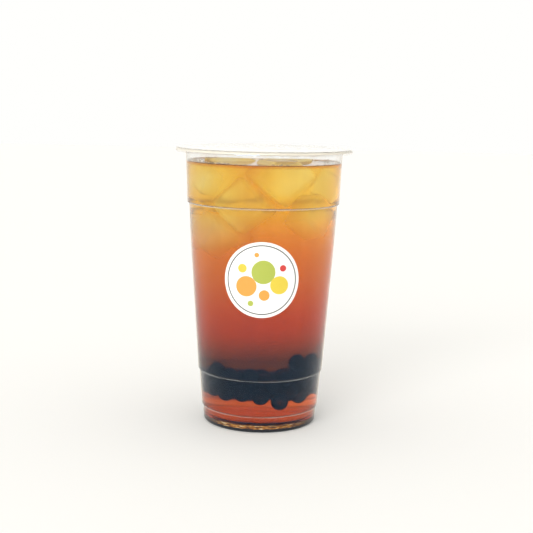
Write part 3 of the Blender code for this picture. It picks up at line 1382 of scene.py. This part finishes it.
@dataclass
class SealFilm:
    """The clear film that closes the cup: welded flat on the lip, with faint wrinkles over the mouth.

    Attributes:
        FADE: How fast the wrinkles grow inwards from the weld.
        weld_radius: From where on out it lies flat on the lip.
        sag: How far its middle hangs down.
        wrinkle: How high its wrinkles are.
        stretch: How much wider they are along Y.
        wrinkle_width: Their width.
    """

    FADE = 4

    radius: float = 47.3 * MM
    weld_radius: float = 44.4 * MM
    underside: float = 149.76 * MM
    thickness: float = 0.1 * MM
    sag: float = 0.5 * MM
    wrinkle: float = 0.12 * MM
    wrinkle_width: float = 11.0 * MM
    stretch: float = 0.6
    rings: int = 40
    steps: int = 160
    finish: SealingFilm = field(default_factory=SealingFilm)

    def height_at(self, x: float, y: float) -> float:
        """The film's underside.

        Args:
            x: The place along X.
            y: The place along Y.

        Returns:
            The height there.
        """
        reach = math.hypot(x, y)
        if reach >= self.weld_radius:
            return self.underside
        inside = 1 - (reach / self.weld_radius) ** 2
        ripple = noise.noise(Vector((x, y * self.stretch, 0)) / self.wrinkle_width) * self.wrinkle
        return self.underside - self.sag * inside + ripple * min(1.0, self.FADE * inside)

    def build(self) -> None:
        """The film as a thin closed sheet."""
        shape = bmesh.new()
        spin_outline(shape, [(self.radius * i / self.rings, 0.0) for i in range(self.rings + 1)], self.steps)
        weld(shape)
        for corner in shape.verts:
            corner.co.z = self.height_at(corner.co.x, corner.co.y)
        bmesh.ops.recalc_face_normals(shape, faces=shape.faces)
        shape.faces.ensure_lookup_table()
        if shape.faces[0].normal.z > 0:
            bmesh.ops.reverse_faces(shape, faces=shape.faces)
        bmesh.ops.solidify(shape, geom=shape.faces[:], thickness=-self.thickness)
        bmesh.ops.recalc_face_normals(shape, faces=shape.faces)
        finish_piece(make_piece("film_lid", shape, [self.finish.material()]), Slot.FILM, "seal_film")


@dataclass
class Label:
    """The round paper sticker on the front of the wall.

    Attributes:
        centre: The height of its middle.
        lift: The glue between it and the wall.
    """

    cup: Cup
    radius: float = 20.0 * MM
    centre: float = 83.6 * MM
    thickness: float = 0.12 * MM
    lift: float = 0.02 * MM
    rings: int = 16
    steps: int = 128
    finish: PrintedPaper = field(default_factory=PrintedPaper)

    def build(self) -> None:
        """The sticker, bent round the wall, with a flat map of its face."""
        shape = bmesh.new()
        spoke = [(self.radius * i / self.rings, 0.0) for i in range(self.rings + 1)]
        spin_outline(shape, spoke, self.steps, (0, -1, 0))
        weld(shape)
        shape.faces.ensure_lookup_table()
        if shape.faces[0].normal.y > 0:
            bmesh.ops.reverse_faces(shape, faces=shape.faces)
        flat = shape.loops.layers.uv.new(FLAT_MAP)
        unit = 2 * self.radius
        for face in shape.faces:
            for loop in face.loops:
                across, up = loop.vert.co.x, loop.vert.co.z
                loop[flat].uv = (MAP_MIDDLE + across / unit, MAP_MIDDLE + up / unit)
        for corner in shape.verts:
            height = self.centre + corner.co.z
            radius = self.cup.radius_at(height) + self.lift
            angle = corner.co.x / radius
            corner.co = (radius * math.sin(angle), -radius * math.cos(angle), height)
        bmesh.ops.solidify(shape, geom=shape.faces[:], thickness=-self.thickness)
        finish_piece(make_piece("label_sticker", shape, [self.finish.material()]), Slot.LABEL, "label")


@dataclass
class Studio:
    """The white floor, the bright surround, one soft lamp and the camera at the photo's angle.

    Attributes:
        distance: From the cup's axis to the camera, along -Y.
        height: The camera's height.
        pitch: How far it looks down, in degrees.
        roll: How far it is tilted to one side, in degrees.
        focal_px: The focal length in pixels of the square frame.
        axis_px: Where the cup's axis stands in the frame.
        clip: The nearest and the farthest that it sees.
        board: Half the floor's width.
        sky: The surround's colours by height.
        azimuth: Where the lamp shines to, in degrees from +Y towards +X.
        elevation: How steeply, in degrees.
        softness: The lamp's angle as the cup sees it, in degrees.
        bounces: How often light may pass through a face.
    """

    distance: float = 0.605
    height: float = 0.179
    pitch: float = 8.84
    roll: float = 1.15
    frame_px: float = 533.0
    focal_px: float = 1119.0
    axis_px: float = 262.0
    sensor_mm: float = 36.0
    clip: Point = (0.01, 20.0)
    board: float = 3.0
    sky: Stops = ((0.14, "#fffffd"), (0.5, "#f2f1ee"))
    azimuth: float = 22.0
    elevation: float = 16.0
    softness: float = 44.0
    strength: float = 2.0
    bounces: int = 48

    def camera(self) -> None:
        """The camera, with the frame's middle a little right of the cup's axis."""
        lens = bpy.data.cameras.new("camera")
        lens.sensor_width = self.sensor_mm
        lens.lens = self.sensor_mm * self.focal_px / self.frame_px
        lens.clip_start, lens.clip_end = self.clip
        lens.shift_x = (self.frame_px / 2 - self.axis_px) / self.frame_px
        camera = bpy.data.objects.new("camera", lens)
        bpy.context.scene.collection.objects.link(camera)
        camera.location = (0, -self.distance, self.height)
        turn = Euler((math.radians(90 - self.pitch), 0, 0)).to_matrix()
        roll = Euler((0, 0, math.radians(self.roll))).to_matrix()
        camera.rotation_euler = (turn @ roll).to_euler()
        bpy.context.scene.camera = camera

    def floor(self) -> None:
        """A wide plain board under the cup."""
        shape = bmesh.new()
        bmesh.ops.create_grid(shape, x_segments=2, y_segments=2, size=self.board)
        make_piece("floor", shape, [StudioWhite().material()])

    def surround(self) -> None:
        """A white surround whose ceiling is a little darker and warmer, so that the floor keeps its shade."""
        world = bpy.data.worlds.new("white_surround")
        world.use_nodes = True
        tree = world.node_tree
        way = add_node(tree, "TexCoord").outputs["Generated"]
        up = add_node(tree, "SeparateXYZ", {0: way}).outputs["Z"]
        feed(tree.nodes["Background"], {"Color": add_node(tree, "ValToRGB", {0: up}, self.sky)})
        bpy.context.scene.world = world

    def daylight(self) -> None:
        """Soft low daylight from the front left, which throws the faint shadow to the right."""
        light = bpy.data.lights.new("soft_daylight", "SUN")
        light.angle = math.radians(self.softness)
        light.energy = self.strength
        lamp = bpy.data.objects.new("soft_daylight", light)
        azimuth, elevation = math.radians(self.azimuth), math.radians(self.elevation)
        flat = math.cos(elevation)
        aim = Vector((math.sin(azimuth) * flat, math.cos(azimuth) * flat, -math.sin(elevation)))
        lamp.rotation_euler = aim.to_track_quat("-Z", "Y").to_euler()
        bpy.context.scene.collection.objects.link(lamp)

    def build(self) -> None:
        """Sets up the whole studio, with plain display colours so that white stays white."""
        self.camera()
        self.floor()
        self.surround()
        self.daylight()
        scene = bpy.context.scene
        scene.view_settings.view_transform = "Standard"
        scene.cycles.max_bounces = self.bounces
        scene.cycles.transmission_bounces = self.bounces
        scene.cycles.transparent_max_bounces = self.bounces


def main() -> None:
    """Builds the pieces in order, from the cup inwards, and then the studio."""
    logging.basicConfig(level=logging.INFO, format="%(name)s: %(message)s")
    cup = Cup()
    cup.build()
    ice = Ice()
    ice.build()
    Tea(cup).build(ice)
    PearlHeap(cup).build()
    Bubbles(cup).build()
    SealFilm().build()
    Label(cup).build()
    Studio().build()


if __name__ == "__main__":
    main()
